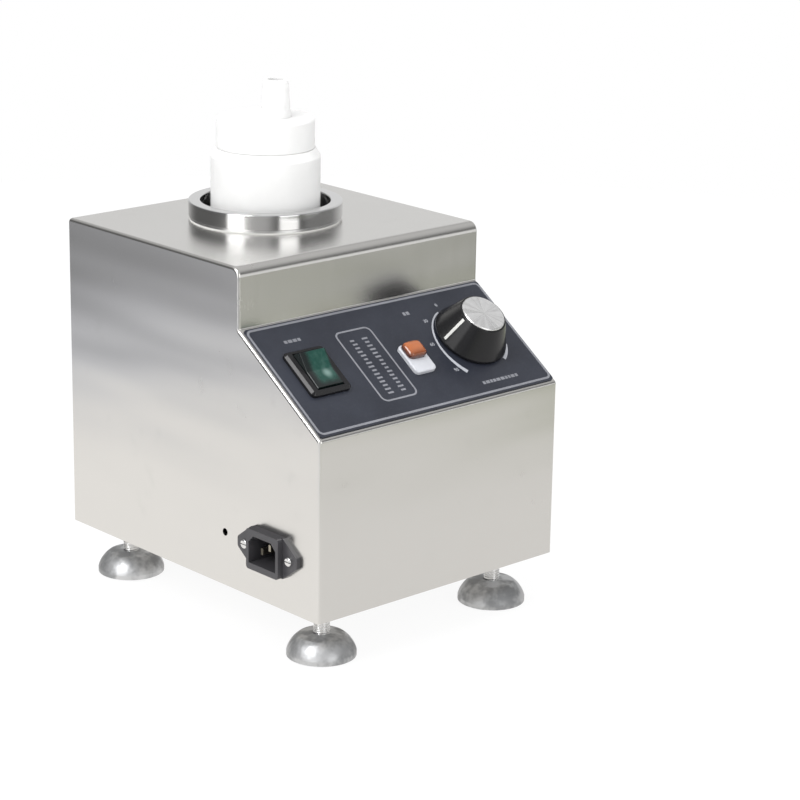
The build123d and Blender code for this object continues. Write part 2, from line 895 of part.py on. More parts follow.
# Switch: bezel, body with a pocket for the rocker, and holes for the pivot pin
def switchHousing():
    bezelLow = panelThickness
    bezel = roundedBlock(bezelWidth, bezelLength, bezelHeight, bezelCorner, bezelLow)
    rim = bezel.faces().sort_by(Axis.Z)[-1].edges()
    bezel = chamfer(rim, bezelChamfer)
    body = block(switchBodyWidth, switchBodyLength, switchDepth, bezelLow - switchDepth)
    pocketLow = -rockerRadius * sin(radians(rockerLowerAngle + rockerTilt)) - rockerUnder
    pocketHigh = bezelLow + bezelHeight + cutOver
    pocket = block(
        rockerWidth + 2 * rockerGap, 2 * (rockerRadius + rockerGap), pocketHigh - pocketLow, pocketLow
    )
    housing = bezel + body - pocket
    reach = rockerWidth / 2 + rockerGap + switchPinReach + switchPinEndGap
    housing -= Rot(0, 90, 0) * Cylinder(switchPinRadius + runningGap, 2 * reach)
    return panelPlane * Pos(switchU, switchV) * housing


# Rocker section across its pin: two flats in a shallow V over rounded ends
def rockerOutline():
    corner = (rockerRadius * cos(radians(rockerCornerAngle)), rockerRadius * sin(radians(rockerCornerAngle)))
    side = (rockerRadius, 0)
    low = (
        rockerRadius * cos(radians(rockerLowerAngle)),
        -rockerRadius * sin(radians(rockerLowerAngle)),
    )
    ends = [
        ThreePointArc((sign * corner[0], corner[1]), (sign * side[0], 0), (sign * low[0], low[1]))
        for sign in (-1, 1)
    ]
    top = Polyline((-corner[0], corner[1]), (0, rockerDip), (corner[0], corner[1]))
    bottom = Line((-low[0], low[1]), (low[0], low[1]))
    return make_face([top, ends[0], bottom, ends[1]])


def switchRocker():
    rocker = extrude(Plane.YZ * rockerOutline(), rockerWidth / 2, both=True)
    ends = [edge for edge in rocker.edges() if abs(abs(edge.center().X) - rockerWidth / 2) < 0.01]
    topEdges = [edge for edge in ends if edge.center().Z > rockerDip]
    rocker = fillet(topEdges, rockerEdge)
    rocker -= Rot(0, 90, 0) * Cylinder(switchPinRadius + seatGap, rockerWidth + 2 * cutOver)
    return panelPlane * Pos(switchU, switchV) * Rot(rockerTilt, 0, 0) * rocker


def switchPin():
    length = rockerWidth + 2 * (rockerGap + switchPinReach)
    return panelPlane * Pos(switchU, switchV) * Rot(0, 90, 0) * Cylinder(switchPinRadius, length)


def switchTerminals():
    low = panelThickness - switchDepth - bladeLength
    blade = block(bladeThickness, bladeWidth, bladeLength, low)
    places = [
        panelPlane * Pos(switchU + i * switchBladeSpanU / 2, switchV + j * switchBladeSpanV / 2)
        for i in (-1, 1)
        for j in (-1, 1)
    ]
    return joined([place * blade for place in places])


def lampBody():
    low = panelThickness
    rim = roundedBlock(lampWidth, lampLength, lampHeight, lampCorner, low)
    rim = fillet(rim.faces().sort_by(Axis.Z)[-1].edges(), lampEdge)
    stem = block(lampBodyWidth, lampBodyLength, lampDepth, low - lampDepth)
    seatLow = low + lampHeight - lensSunk
    seat = roundedBlock(lensWidth + 2 * seatGap, lensLength + 2 * seatGap, 2 * lensSunk, lensCorner, seatLow)
    seat = Pos(0, lensV - lampV) * seat
    return panelPlane * Pos(lampU, lampV) * (rim + stem - seat)


def lampLens():
    low = panelThickness + lampHeight - lensSunk
    lens = roundedBlock(lensWidth, lensLength, lensSunk + lensRise, lensCorner, low)
    lens = fillet(lens.faces().sort_by(Axis.Z)[-1].edges(), lensEdge)
    return panelPlane * Pos(lampU, lensV) * lens


def lampTerminals():
    low = panelThickness - lampDepth - bladeLength
    blade = block(lampBladeWidth, bladeThickness, bladeLength, low)
    places = [panelPlane * Pos(lampU, lampV + side * lampBladeSpan / 2) for side in (-1, 1)]
    return joined([place * blade for place in places])


# Inlet: a flange with two pointed ears, a raised block round the socket, and the body behind the wall
def inletHousing():
    halfBlock = inletBlockWidth / 2
    halfEar = earSpan / 2
    halfTip = earTipWidth / 2
    halfHigh = inletBlockHeight / 2
    corners = [
        (-halfEar, -halfTip), (-halfBlock, -halfHigh), (halfBlock, -halfHigh), (halfEar, -halfTip),
        (halfEar, halfTip), (halfBlock, halfHigh), (-halfBlock, halfHigh), (-halfEar, halfTip),
    ]
    radii = [earCorner, inletCorner, inletCorner, earCorner] * 2
    flange = extrude(make_face(FilletPolyline(*corners, radius=radii, close=True)), earThickness)
    raised = roundedBlock(inletBlockWidth, inletBlockHeight, inletProud, inletCorner)
    body = block(inletBodyWidth, inletBodyHeight, inletDepth, -inletDepth)
    halfWide = socketWidth / 2
    halfTall = socketHeight / 2
    socket = make_face(
        Polyline(
            (-halfWide, -halfTall),
            (halfWide, -halfTall),
            (halfWide, halfTall - socketChamfer),
            (halfWide - socketChamfer, halfTall),
            (socketChamfer - halfWide, halfTall),
            (-halfWide, halfTall - socketChamfer),
            close=True,
        )
    )
    inlet = flange + raised + body
    inlet -= Pos(0, 0, inletProud - socketDepth) * extrude(socket, socketDepth + cutOver)
    for side in (-1, 1):
        hole = bar(inletScrewRadius + screwClearance, earThickness + 2 * cutOver, -cutOver)
        inlet -= Pos(side * inletScrewSpan / 2, 0) * hole
    floor = inletDepth + inletProud - socketDepth
    for x, z, wide, tall in pinPlaces():
        slot = block(wide + 2 * seatGap, tall + 2 * seatGap, floor + 2 * cutOver, -inletDepth - cutOver)
        inlet -= Pos(x, z) * slot
    return sidePlane * Pos(inletAlong, inletUp) * inlet


# Earth pin in the middle and above, line and neutral to its sides and below, all standing upright
def pinPlaces():
    return [
        (0, earthPinRise, pinThin, pinWide),
        (-pinSpread, -linePinDrop, pinThin, pinWide),
        (pinSpread, -linePinDrop, pinThin, pinWide),
    ]


def inletPins():
    floor = inletProud - socketDepth
    low = -inletDepth - pinTail
    pins = []
    for x, z, wide, tall in pinPlaces():
        pin = block(wide, tall, floor + pinReach - low, low)
        pins.append(sidePlane * Pos(inletAlong + x, inletUp + z) * pin)
    return joined(pins)


def inletScrews():
    length = earThickness + sheet + inletNutHeight + screwTail
    screw = panScrew(inletScrewRadius, inletHeadRadius, inletHeadHeight, length)
    screw = Pos(0, 0, earThickness) * Rot(180, 0, 0) * screw
    places = [sidePlane * Pos(inletAlong + side * inletScrewSpan / 2, inletUp) for side in (-1, 1)]
    return joined([place * screw for place in places])


def inletNuts():
    nut = hexNut(inletNutFlats, inletScrewRadius + seatGap, inletNutHeight, -sheet - inletNutHeight)
    places = [sidePlane * Pos(inletAlong + side * inletScrewSpan / 2, inletUp) for side in (-1, 1)]
    return joined([place * nut for place in places])


# Across the terminal block, from its middle to the middle of one way
def wayX(way):
    return (way - (blockWays - 1) / 2) * blockLength / blockWays


def blockBoreZ():
    return baseZ + baseThickness + blockBoreRise


def terminalScrewPlaces():
    return [(wayX(way), side * terminalScrewSpan / 2) for way in range(blockWays) for side in (-1, 1)]


# Terminal block: one bore for each way, notches between the ways, and wells for the clamping screws
def terminalBlock():
    z = baseZ + baseThickness
    top = z + blockHeight
    body = roundedBlock(blockLength, blockWidth, blockHeight, blockCorner, z)
    for way in range(blockWays):
        bore = Rot(90, 0, 0) * Cylinder(blockBoreRadius, blockWidth + 2 * cutOver)
        body -= Pos(wayX(way), 0, blockBoreZ()) * bore
        if way:
            low = top - blockNotchDepth
            notch = block(blockNotch, blockWidth + 2 * cutOver, blockNotchDepth + cutOver, low)
            body -= Pos(wayX(way) - blockLength / blockWays / 2, 0) * notch
    for x, y in terminalScrewPlaces():
        body -= Pos(x, y) * bar(terminalScrewRadius + seatGap, top + cutOver - blockBoreZ(), blockBoreZ())
    return Pos(blockX, blockY) * body


def terminalScrews():
    low = blockBoreZ() + wireRadius + seatGap
    top = baseZ + baseThickness + blockHeight - terminalScrewSunk
    slotWidth = terminalScrewRadius * 0.4
    slot = block(3 * terminalScrewRadius, slotWidth, terminalScrewRadius, top - slotWidth)
    screw = bar(terminalScrewRadius, top - low, low) - slot
    return joined([Pos(blockX + x, blockY + y) * screw for x, y in terminalScrewPlaces()])


def earthStud():
    z = baseZ + baseThickness
    stud = bar(smallScrewRadius, earthStudHeight + baseThickness, baseZ) + bar(
        smallHeadRadius, earthHeadHeight, baseZ - earthHeadHeight
    )
    nut = hexNut(nutFlats, smallScrewRadius + seatGap, nutHeight, z)
    return joined([Pos(earthX, earthY) * piece for piece in (stud, nut)])


# A tube along straight runs joined by arcs, each as large as its two runs allow
def bentTube(points, radius):
    radii = []
    for before, here, after in zip(points, points[1:], points[2:]):
        came = Vector(*here) - Vector(*before)
        goes = Vector(*after) - Vector(*here)
        halfTurn = radians(came.get_angle(goes)) / 2
        radii.append(min(came.length, goes.length) * bendShare / tan(halfTurn))
    path = FilletPolyline(*points, radius=radii)
    start = Vector(*points[0])
    return sweep(Plane(origin=start, z_dir=Vector(*points[1]) - start) * Circle(radius), path)


# A point in the panel's frame, given in the body's
def underPanel(u, v, h):
    place = (panelPlane * Pos(u, v, h)).position
    return (place.X, place.Y, place.Z)


# The far end of an inlet pin, and a point straight in from it
def pinEnd(pin, along=0.0):
    x, z = pinPlaces()[pin][:2]
    return (leftX + inletDepth + pinTail + along, -inletAlong - x, baseZ + inletUp + z)


# A wire's last run into one side of the terminal block: side 1 is the rear, -1 the front
def intoBlock(way, side):
    x = blockX + wayX(way)
    end = blockY + side * (blockWidth / 2 - wireInBore)
    return [(x, blockY + side * (blockWidth / 2 + wireStub), blockBoreZ()), (x, end, blockBoreZ())]


def switchTip(i, j, back=0.0):
    low = panelThickness - switchDepth - bladeLength
    return underPanel(switchU + i * switchBladeSpanU / 2, switchV + j * switchBladeSpanV / 2, low - back)


def lampTip(side, back=0.0):
    low = panelThickness - lampDepth - bladeLength
    return underPanel(lampU, lampV + side * lampBladeSpan / 2, low - back)


# A point a share of the way between two others, with a rise
def between(first, second, share, rise=0.0):
    spot = Vector(*first) + (Vector(*second) - Vector(*first)) * share
    return (spot.X, spot.Y, spot.Z + rise)


# A lead that leaves the band heater's lower edge, in the space between the well and the jacket
def heaterLead(side, way):
    radius = wellOuter + seatGap + heaterThickness / 2
    x = side * radius * sin(radians(heaterLeadAngle))
    y = wellY - radius * cos(radians(heaterLeadAngle))
    low = (x, y, heaterLowZ() - jacketOverlap - wireStub)
    blockEnd = intoBlock(way, 1)
    high = between(blockEnd[0], blockEnd[0], 0, wireStub)
    return [(x, y, heaterLowZ()), low, between(low, high, 0.4, -wireStub / 2), high] + blockEnd


# Where a wire crosses the housing, a share of the way from the switch's blades to the straps' ears
def crossingY(share):
    tip = switchTip(1, 1)[1]
    return tip + (wellY + earY() - strapEar - tip) * share


# Routes: the inlet to the block, the block to the switch and the lamp, the switch to the lamp and
# the thermostat, and the heater's two leads
def wireRoutes():
    x1, x2, x3 = [blockX + wayX(way) for way in range(3)]
    rear = blockY + blockWidth / 2
    front = blockY - blockWidth / 2
    low = blockBoreZ()
    earth = (earthX, earthY, baseZ + baseThickness + earthStudHeight)
    caseSide = underPanel(knobU - thermostatWidth / 2, knobV, -sheet - bridgeThickness - thermostatDepth / 2)
    beside = (caseSide[0] - wireStub, caseSide[1], caseSide[2])
    line = [pinEnd(1), pinEnd(1, 13), (x1 - 6, rear + 10, low + 17), (x1, rear + 18, low + 9)]
    neutral = [pinEnd(2), pinEnd(2, 11), (x1 - 6, rear - 12, low + 23), (x2 - 3, rear + 6, low + 19)]
    neutral.append((x2, rear + 18, low + 9))
    ground = [pinEnd(0), pinEnd(0, 10), (earthX + 8, earthY - 6, earth[2] + 17)]
    ground += [(earthX, earthY, earth[2] + 12), earth]
    toSwitch = [(x1 - 2, front - 16, low + 9), (x1 - 10, front - 10, low + 32)]
    toSwitch += [(x1 - 20, front + 12, low + 61), switchTip(1, -1, wireStub), switchTip(1, -1)]
    toSwitchFar = [(x2 - 3, front - 17, low + 11), (x2 - 19, front - 16, low + 37)]
    toSwitchFar += [(x1 - 28, front + 4, low + 65), switchTip(-1, -1, wireStub), switchTip(-1, -1)]
    toLamp = [(x3 + 2, front - 16, low + 11), (x3 + 9, front - 10, low + 37)]
    toLamp += [(x3 + 19, front + 8, low + 67), lampTip(-1, wireStub + 2), lampTip(-1)]
    lampFeed = [switchTip(1, 1), switchTip(1, 1, wireStub), (switchU + 22, crossingY(0.35), low + 87)]
    lampFeed += [(switchU + 47, crossingY(0.25), low + 85), (lampU - 7, crossingY(0.05), low + 87)]
    lampFeed += [lampTip(1, wireStub), lampTip(1)]
    dialFeed = [switchTip(-1, 1), switchTip(-1, 1, wireStub), (switchU + 7, crossingY(0.46), low + 83)]
    dialFeed += [(switchU + 42, crossingY(0.46), low + 79), (lampU + 3, crossingY(0.28), low + 85)]
    dialFeed += [(beside[0] - 4, beside[1] + 10, beside[2] - 10), beside, caseSide]
    return [
        line + intoBlock(0, 1),
        neutral + intoBlock(1, 1),
        ground,
        intoBlock(0, -1)[::-1] + toSwitch,
        intoBlock(1, -1)[::-1] + toSwitchFar,
        intoBlock(2, -1)[::-1] + toLamp,
        lampFeed,
        dialFeed,
        heaterLead(-1, 2),
        heaterLead(1, 3),
    ]


def internalWiring():
    return joined([bentTube(points, wireRadius) for points in wireRoutes()])


# The capillary runs up from the sensor bulb and over to the rear wall of the thermostat's case
def capillaryTube():
    bulbTop = heaterLowZ() + heaterHeight / 2 + bulbLength / 2
    y = wellY - wellOuter - seatGap - bulbRadius
    height = -sheet - bridgeThickness - thermostatDepth / 2
    end = underPanel(knobU, knobV + thermostatLength / 2, height)
    near = underPanel(knobU, knobV + thermostatLength / 2 + wireStub, height)
    out = (0, y, bulbTop + wireStub)
    points = [(0, y, bulbTop), out, between(out, near, 0.35, 2), between(out, near, 0.75, 4), near, end]
    return bentTube(points, capillaryRadius)


def addFeet():
    for name, (x, y) in footPlaces.items():
        nodes["foot_bell_" + name] = Pos(x, y) * footBell()
        nodes["foot_stud_" + name] = Pos(x, y) * footStud()
        nodes["foot_pad_" + name] = Pos(x, y) * footPad()


def buildAll():
    nodes["outer_shell"] = outerShell()
    nodes["base_plate"] = basePlate()
    nodes["base_screws"] = baseScrews()
    nodes["foot_inserts"] = footInserts()
    addFeet()
    nodes["collar_ring"] = collarRing()
    nodes["collar_gasket"] = collarGasket()
    nodes["collar_screws"] = collarScrewSet()
    nodes["heating_well"] = heatingWell()
    nodes["heater_band"] = heaterBand()
    nodes["heater_straps"] = heaterStraps()
    nodes["strap_screws"] = strapScrews()
    nodes["insulation_jacket"] = insulationJacket()
    nodes["sensor_bulb"] = sensorBulb()
    nodes["bulb_clip"] = bulbClip()
    nodes["thermal_cutout"] = thermalCutout()
    nodes["cutout_bracket"] = cutoutBracket()
    nodes["bottle_body"] = bottleBody()
    nodes["bottle_cap"] = bottleCap()
    nodes["cap_seal"] = capSeal()
    nodes["bottle_spout"] = bottleSpout()
    nodes["control_panel"] = controlPanel()
    nodes["dial_knob"] = dialKnob()
    nodes["knob_cap"] = knobCap()
    nodes["knob_pointer"] = knobPointer()
    nodes["thermostat_body"] = thermostatBody()
    nodes["thermostat_shaft"] = thermostatShaft()
    nodes["thermostat_screws"] = thermostatScrews()
    nodes["switch_housing"] = switchHousing()
    nodes["switch_rocker"] = switchRocker()
    nodes["switch_pin"] = switchPin()
    nodes["switch_terminals"] = switchTerminals()
    nodes["lamp_body"] = lampBody()
    nodes["lamp_lens"] = lampLens()
    nodes["lamp_terminals"] = lampTerminals()
    nodes["inlet_housing"] = inletHousing()
    nodes["inlet_pins"] = inletPins()
    nodes["inlet_screws"] = inletScrews()
    nodes["inlet_nuts"] = inletNuts()
    nodes["terminal_block"] = terminalBlock()
    nodes["terminal_screws"] = terminalScrews()
    nodes["earth_stud"] = earthStud()
    nodes["internal_wiring"] = internalWiring()
    nodes["capillary_tube"] = capillaryTube()


buildAll()

# The inlet stands out on the left, so the body moves right by half of that: the origin is then the
# middle of the whole part's footprint
frameShift = Pos(inletProud / 2, 0, 0)
os.makedirs("parts", exist_ok=True)
for name, shape in nodes.items():
    export_step(frameShift * shape, "parts/" + name + ".step")
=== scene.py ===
import json
from math import cos, pi, radians, sin

import bpy
import numpy as np
from mathutils import Matrix, Vector


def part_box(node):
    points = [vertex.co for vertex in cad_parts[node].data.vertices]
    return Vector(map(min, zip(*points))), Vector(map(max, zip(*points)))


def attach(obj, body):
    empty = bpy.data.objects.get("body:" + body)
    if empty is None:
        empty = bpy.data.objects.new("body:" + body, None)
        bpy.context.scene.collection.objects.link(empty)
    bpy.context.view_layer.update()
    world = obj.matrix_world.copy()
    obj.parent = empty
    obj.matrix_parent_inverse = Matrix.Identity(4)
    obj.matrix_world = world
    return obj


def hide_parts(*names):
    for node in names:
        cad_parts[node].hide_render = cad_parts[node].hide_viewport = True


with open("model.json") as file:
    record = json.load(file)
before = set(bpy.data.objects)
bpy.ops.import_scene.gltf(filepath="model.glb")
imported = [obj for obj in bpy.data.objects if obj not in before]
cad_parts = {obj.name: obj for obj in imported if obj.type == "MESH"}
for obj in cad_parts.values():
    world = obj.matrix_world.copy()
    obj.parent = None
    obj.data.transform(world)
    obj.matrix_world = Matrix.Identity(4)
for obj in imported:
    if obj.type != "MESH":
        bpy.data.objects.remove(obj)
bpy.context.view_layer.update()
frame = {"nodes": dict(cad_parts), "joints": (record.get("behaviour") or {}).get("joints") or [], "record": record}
cadNodes = frame["nodes"]
joints = {joint["name"]: joint for joint in frame["joints"]}
slots = {part["node"]: part["material_slot"] for part in frame["record"]["subparts"]}
mm = 0.001
print("frame loaded:", len(cadNodes), "nodes")

# Places that come from the frame
panelOut = Vector(joints["knob_turn"]["axis"]).normalized()  # straight out of the sloping panel
panelAcross = Vector((1, 0, 0))
panelAlong = panelOut.cross(panelAcross)  # up the slope
knobFoot = Vector(joints["knob_turn"]["pos_m"])
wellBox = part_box("collar_ring")
wellAxis = (wellBox[0] + wellBox[1]) / 2
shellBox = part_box("outer_shell")
shellMiddle = (shellBox[0] + shellBox[1]) / 2

# Where things stand on the panel, in mm: across from its middle, and up the slope
knobSpot = {"across": 57.0, "along": 46.5}
switchSpot = {"across": -66.7, "along": 46.0}


# A point or an array of points on the panel: across, up the slope, and above its bare steel, in mm
def onPanel(across, along, above):
    out = np.multiply.outer(np.asarray(across, float) - knobSpot["across"], np.array(panelAcross))
    out = out + np.multiply.outer(np.asarray(along, float) - knobSpot["along"], np.array(panelAlong))
    out = out + np.multiply.outer(np.asarray(above, float), np.array(panelOut))
    return out * mm + np.array(knobFoot)


# Camera: bearing and rise are seen from the object, the shift is in the picture's own plane
camera = {
    "bearing": radians(-42.77),
    "rise": radians(16.77),
    "roll": radians(0.99),
    "distance": 1.663,  # metres, as the shift is
    "across": 0.0574,
    "above": 0.0856,
    "lens": 118.2,
    "sensor": 36,
    "near": 0.05,
    "far": 50,
}


def placeCamera():
    turn, rise, roll = camera["bearing"], camera["rise"], camera["roll"]
    back = Vector((sin(turn) * cos(rise), -cos(turn) * cos(rise), sin(rise)))
    level = Vector((cos(turn), sin(turn), 0))
    upright = back.cross(level)
    right = level * cos(roll) + upright * sin(roll)
    up = upright * cos(roll) - level * sin(roll)
    data = bpy.data.cameras.new("camera")
    data.lens = camera["lens"]
    data.sensor_width = camera["sensor"]
    data.clip_start = camera["near"]
    data.clip_end = camera["far"]
    made = bpy.data.objects.new("camera", data)
    bpy.context.collection.objects.link(made)
    target = Vector((shellMiddle.x, shellMiddle.y, shellBox[0].z))
    place = target + back * camera["distance"] + right * camera["across"] + up * camera["above"]
    axes = Matrix((right, up, back)).transposed()
    made.matrix_world = Matrix.Translation(place) @ axes.to_4x4()
    bpy.context.scene.camera = made


# One output of a shader tree; arithmetic on it adds the Math nodes
class Wire:
    def __init__(self, tree, socket):
        self.tree = tree
        self.socket = socket

    def math(self, operation, first, second):
        return self.tree.node("ShaderNodeMath", {"operation": operation}, {0: first, 1: second})

    def __add__(self, other):
        return self.math("ADD", self, other)

    def __radd__(self, other):
        return self.math("ADD", other, self)

    def __sub__(self, other):
        return self.math("SUBTRACT", self, other)

    def __rsub__(self, other):
        return self.math("SUBTRACT", other, self)

    def __mul__(self, other):
        return self.math("MULTIPLY", self, other)

    def __rmul__(self, other):
        return self.math("MULTIPLY", other, self)

    def __truediv__(self, other):
        return self.math("DIVIDE", self, other)

    def __pow__(self, other):
        return self.math("POWER", self, other)

    def __abs__(self):
        return self.math("ABSOLUTE", self, 0.0)

    # 0 at low and 1 at high, held at the ends
    def span(self, low, high):
        inputs = {"Value": self, "From Min": low, "From Max": high}
        return self.tree.node("ShaderNodeMapRange", {"interpolation_type": "SMOOTHSTEP"}, inputs)


# A shader tree that is written from the top down: node() takes a type, its settings and its inputs
class Shading:
    def __init__(self, tree):
        self.tree = tree

    def node(self, kind, settings=None, inputs=None, output=0):
        made = self.tree.nodes.new(kind)
        for key, value in (settings or {}).items():
            setattr(made, key, value)
        for key, value in (inputs or {}).items():
            self.feed(made.inputs[key], value)
        return Wire(self, made.outputs[output])

    def feed(self, socket, value):
        if isinstance(value, Wire):
            self.tree.links.new(value.socket, socket)
        else:
            socket.default_value = value

    # Object coordinates, moved so that centre is the zero point and stretched by factors
    def place(self, factors=(1, 1, 1), centre=(0, 0, 0)):
        here = self.node("ShaderNodeTexCoord", output="Object")
        moved = self.node("ShaderNodeVectorMath", {"operation": "SUBTRACT"}, {0: here, 1: tuple(centre)})
        return self.node("ShaderNodeVectorMath", {"operation": "MULTIPLY"}, {0: moved, 1: tuple(factors)})

    # Distances from a point along several directions, as on a slope
    def along(self, centre, *directions):
        away = self.place(centre=centre)
        dot = {"operation": "DOT_PRODUCT"}
        return [
            self.node("ShaderNodeVectorMath", dot, {0: away, 1: tuple(axis)}, "Value")
            for axis in directions
        ]

    def split(self, vector):
        cut = self.tree.nodes.new("ShaderNodeSeparateXYZ")
        self.feed(cut.inputs[0], vector)
        return [Wire(self, socket) for socket in cut.outputs]

    # Noise with so many features in a metre, one number or one for each direction
    def noise(self, density, detail=2.0, rough=0.5):
        factors = density if isinstance(density, tuple) else (density, density, density)
        return self.noiseOver(self.place(factors), 1.0, detail, rough)

    def noiseOver(self, vector, scale, detail, rough):
        inputs = {"Vector": vector, "Scale": scale, "Detail": detail, "Roughness": rough}
        return self.node("ShaderNodeTexNoise", None, inputs)

    # Noise along one value, as for the rings that a tool leaves
    def rings(self, value, detail=2.0):
        return self.node("ShaderNodeTexNoise", {"noise_dimensions": "1D"}, {"W": value, "Detail": detail})

    def blend(self, factor, first, second):
        return self.node("ShaderNodeMix", {"data_type": "RGBA"}, {0: factor, 6: first, 7: second}, 2)

    def bump(self, height, strength, distance, under=None):
        inputs = {"Height": height, "Strength": strength, "Distance": distance}
        if under:
            inputs["Normal"] = under
        return self.node("ShaderNodeBump", None, inputs)

    # A value of the tree's Light Path: "Is Camera Ray" and the like
    def ray(self, kind):
        return self.node("ShaderNodeLightPath", output=kind)

    # The closing node, which has no output of its own
    def close(self, kind, shader):
        self.feed(self.tree.nodes.new(kind).inputs["Surface"], shader)


# A material with one Principled shader; fixed values go straight onto its sockets
class Finish(Shading):
    sockets = {
        "colour": "Base Color", "roughness": "Roughness", "metallic": "Metallic", "normal": "Normal",
        "coat": "Coat Weight", "coatRoughness": "Coat Roughness", "specular": "Specular IOR Level",
        "through": "Transmission Weight", "inside": "Subsurface Weight",
        "insideRadius": "Subsurface Radius", "insideScale": "Subsurface Scale",
    }

    def __init__(self, name, **fixed):
        self.material = bpy.data.materials.new(name)
        self.material.use_nodes = True
        super().__init__(self.material.node_tree)
        self.shader = self.tree.nodes["Principled BSDF"]
        for key, value in fixed.items():
            self.set(key, value)

    def set(self, key, value):
        self.feed(self.shader.inputs[self.sockets[key]], value)


def grey(level, tint=(0, 0, 0)):
    return (level + tint[0], level + tint[1], level + tint[2], 1)


def opaque(colour, share=1):
    return tuple(part * share for part in colour) + (1,)


finishes = {}


# Brushed sheet: fine grain runs up the walls and along the bent sheet, with soft handling marks
steelSheet = {
    "colour": (0.66, 0.6501, 0.6303),
    "dense": 2600,  # grain lines in a metre, counted across them
    "sparse": 34,  # and along them
    "layers": ((1.0, 0.6), (0.27, 0.4)),  # share of those densities, and how much the layer counts
    "sides": (0.6, 0.8),  # how far a face looks sideways where the grain turns over
    "tone": 0.965,
    "rough": 0.175,
    "waves": (5, 5, 24),
}


def brushedSheet(name):
    look = steelSheet
    metal = Finish(name, metallic=1.0)
    facing = metal.split(metal.node("ShaderNodeNewGeometry", output="Normal"))
    side = abs(facing[0]).span(*look["sides"])
    lines = 0
    for density, share in look["layers"]:
        dense, sparse = look["dense"] * density, look["sparse"] * density
        acrossSheet = metal.noise((dense, sparse, sparse), 1.5, 0.6)
        acrossSide = metal.noise((sparse, dense, sparse), 1.5, 0.6)
        lines = lines + (acrossSheet * (1 - side) + acrossSide * side) * share
    smudge = metal.noise(9, 3.0, 0.6)
    marks = metal.noise(60, 4.0, 0.7).span(0.56, 0.78)
    tone = lines * 0.07 - marks * 0.03 + look["tone"]
    metal.set("colour", metal.blend(tone, grey(0), opaque(look["colour"])))
    metal.set("roughness", lines * 0.07 + smudge * 0.07 + marks * 0.03 + look["rough"])
    sheet = metal.bump(metal.noise(look["waves"], 1.0, 0.4), 0.35, 0.004)
    metal.set("normal", metal.bump(lines, 0.05, 0.0002, sheet))
    finishes[name] = metal.material


# Turned metal: faint rings of the tool round the axis at centre, so many in a metre
def turnedMetal(name, level, rough, centre=(0, 0, 0), pitch=300, depth=0.03, tint=(0, 0, 0)):
    metal = Finish(name, metallic=1.0)
    x, y, z = metal.split(metal.place(centre=centre))
    radius = (x * x + y * y) ** 0.5
    rings = metal.rings(radius * pitch + z * pitch)
    smudge = metal.noise(40, 3.0, 0.6)
    metal.set("colour", metal.blend(rings * 0.06 + 0.94, grey(0), grey(level, tint)))
    metal.set("roughness", rings * 0.05 + smudge * 0.05 + rough)
    metal.set("normal", metal.bump(rings, depth, 0.0002))
    finishes[name] = metal.material


# Cast metal, tumbled bright: dull hollows, shining high spots and a lumpy skin
castSkin = {
    "level": 0.56,
    "hollow": 0.62,  # share of that brightness in the hollows
    "tint": (0, 0.006, 0.014),
    "rough": 0.42,
    "lumps": 75,  # in a metre
    "grit": 1500,
}


def castMetal(name):
    look = castSkin
    metal = Finish(name, metallic=1.0)
    grit = metal.noise(look["grit"], 2.0, 0.6)
    cloud = metal.noise(look["lumps"], 3.0, 0.6)
    dull = cloud.span(0.40, 0.62)
    high = grey(look["level"], look["tint"])
    low = grey(look["level"] * look["hollow"], look["tint"])
    metal.set("colour", metal.blend(dull, high, low))
    metal.set("roughness", dull * 0.16 + grit * 0.05 + look["rough"])
    lumps = metal.bump(cloud, 0.25, 0.003)
    metal.set("normal", metal.bump(grit, 0.06, 0.0003, lumps))
    finishes[name] = metal.material


# Moulded plastic or rubber, and ink: the colour drifts a little, the skin has a fine texture
def moulded(name, colour, rough, skin=1400, depth=0.05, drift=0.82, **fixed):
    plastic = Finish(name, **fixed)
    texture = plastic.noise(skin)
    cloud = plastic.noise(35, 3.0, 0.6)
    plastic.set("colour", plastic.blend(cloud.span(0.3, 0.7), opaque(colour, drift), opaque(colour)))
    plastic.set("roughness", cloud * 0.10 + texture * 0.04 + rough)
    plastic.set("normal", plastic.bump(texture, depth, 0.0002))
    finishes[name] = plastic.material


# Woven or felted inner parts: strands lie along one direction, dark between them
def fibrous(name, colour):
    cloth = Finish(name)
    strand = cloth.noise((700, 175, 700), 5.0, 0.7)
    cloth.set("colour", cloth.blend(strand.span(0.3, 0.7), opaque(colour, 0.6), opaque(colour)))
    cloth.set("roughness", strand * 0.1 + 0.85)
    cloth.set("normal", cloth.bump(strand, 0.6, 0.0006))
    finishes[name] = cloth.material


# Printed plate: charcoal lacquer with a slight orange peel and dust-fine flecks
lacquer = {
    "dark": (0.015, 0.017, 0.025),
    "pale": (0.021, 0.024, 0.034),
    "fleck": (0.30, 0.31, 0.33),
    "rough": 0.30,
    "peel": 420,  # in a metre
    "flecks": 2600,
    "clouds": 22,
}


def lacquered(name):
    look = lacquer
    plate = Finish(name, specular=0.34)
    peel = plate.noise(look["peel"])
    fleck = plate.noise(look["flecks"], 1.0).span(0.66, 0.74)
    cloud = plate.noise(look["clouds"], 3.0, 0.6)
    base = plate.blend(cloud.span(0.3, 0.7), opaque(look["dark"]), opaque(look["pale"]))
    plate.set("colour", plate.blend(fleck * 0.15, base, opaque(look["fleck"])))
    plate.set("roughness", peel * 0.12 + look["rough"])
    plate.set("normal", plate.bump(peel, 0.08, 0.0003))
    finishes[name] = plate.material


# Spun aluminium disc of the knob: rings round the knob's own axis, and bright and dim rays, a painted
# highlight standing for the streaks of light that such a disc shows
spunDisc = {
    "rings": 2600,  # in a metre
    # painted highlight: how close the bright and dim rays come round the disc
    "rays": 2.6,
    "wear": 260,
    "tone": 0.76,
    "rough": 0.22,
}


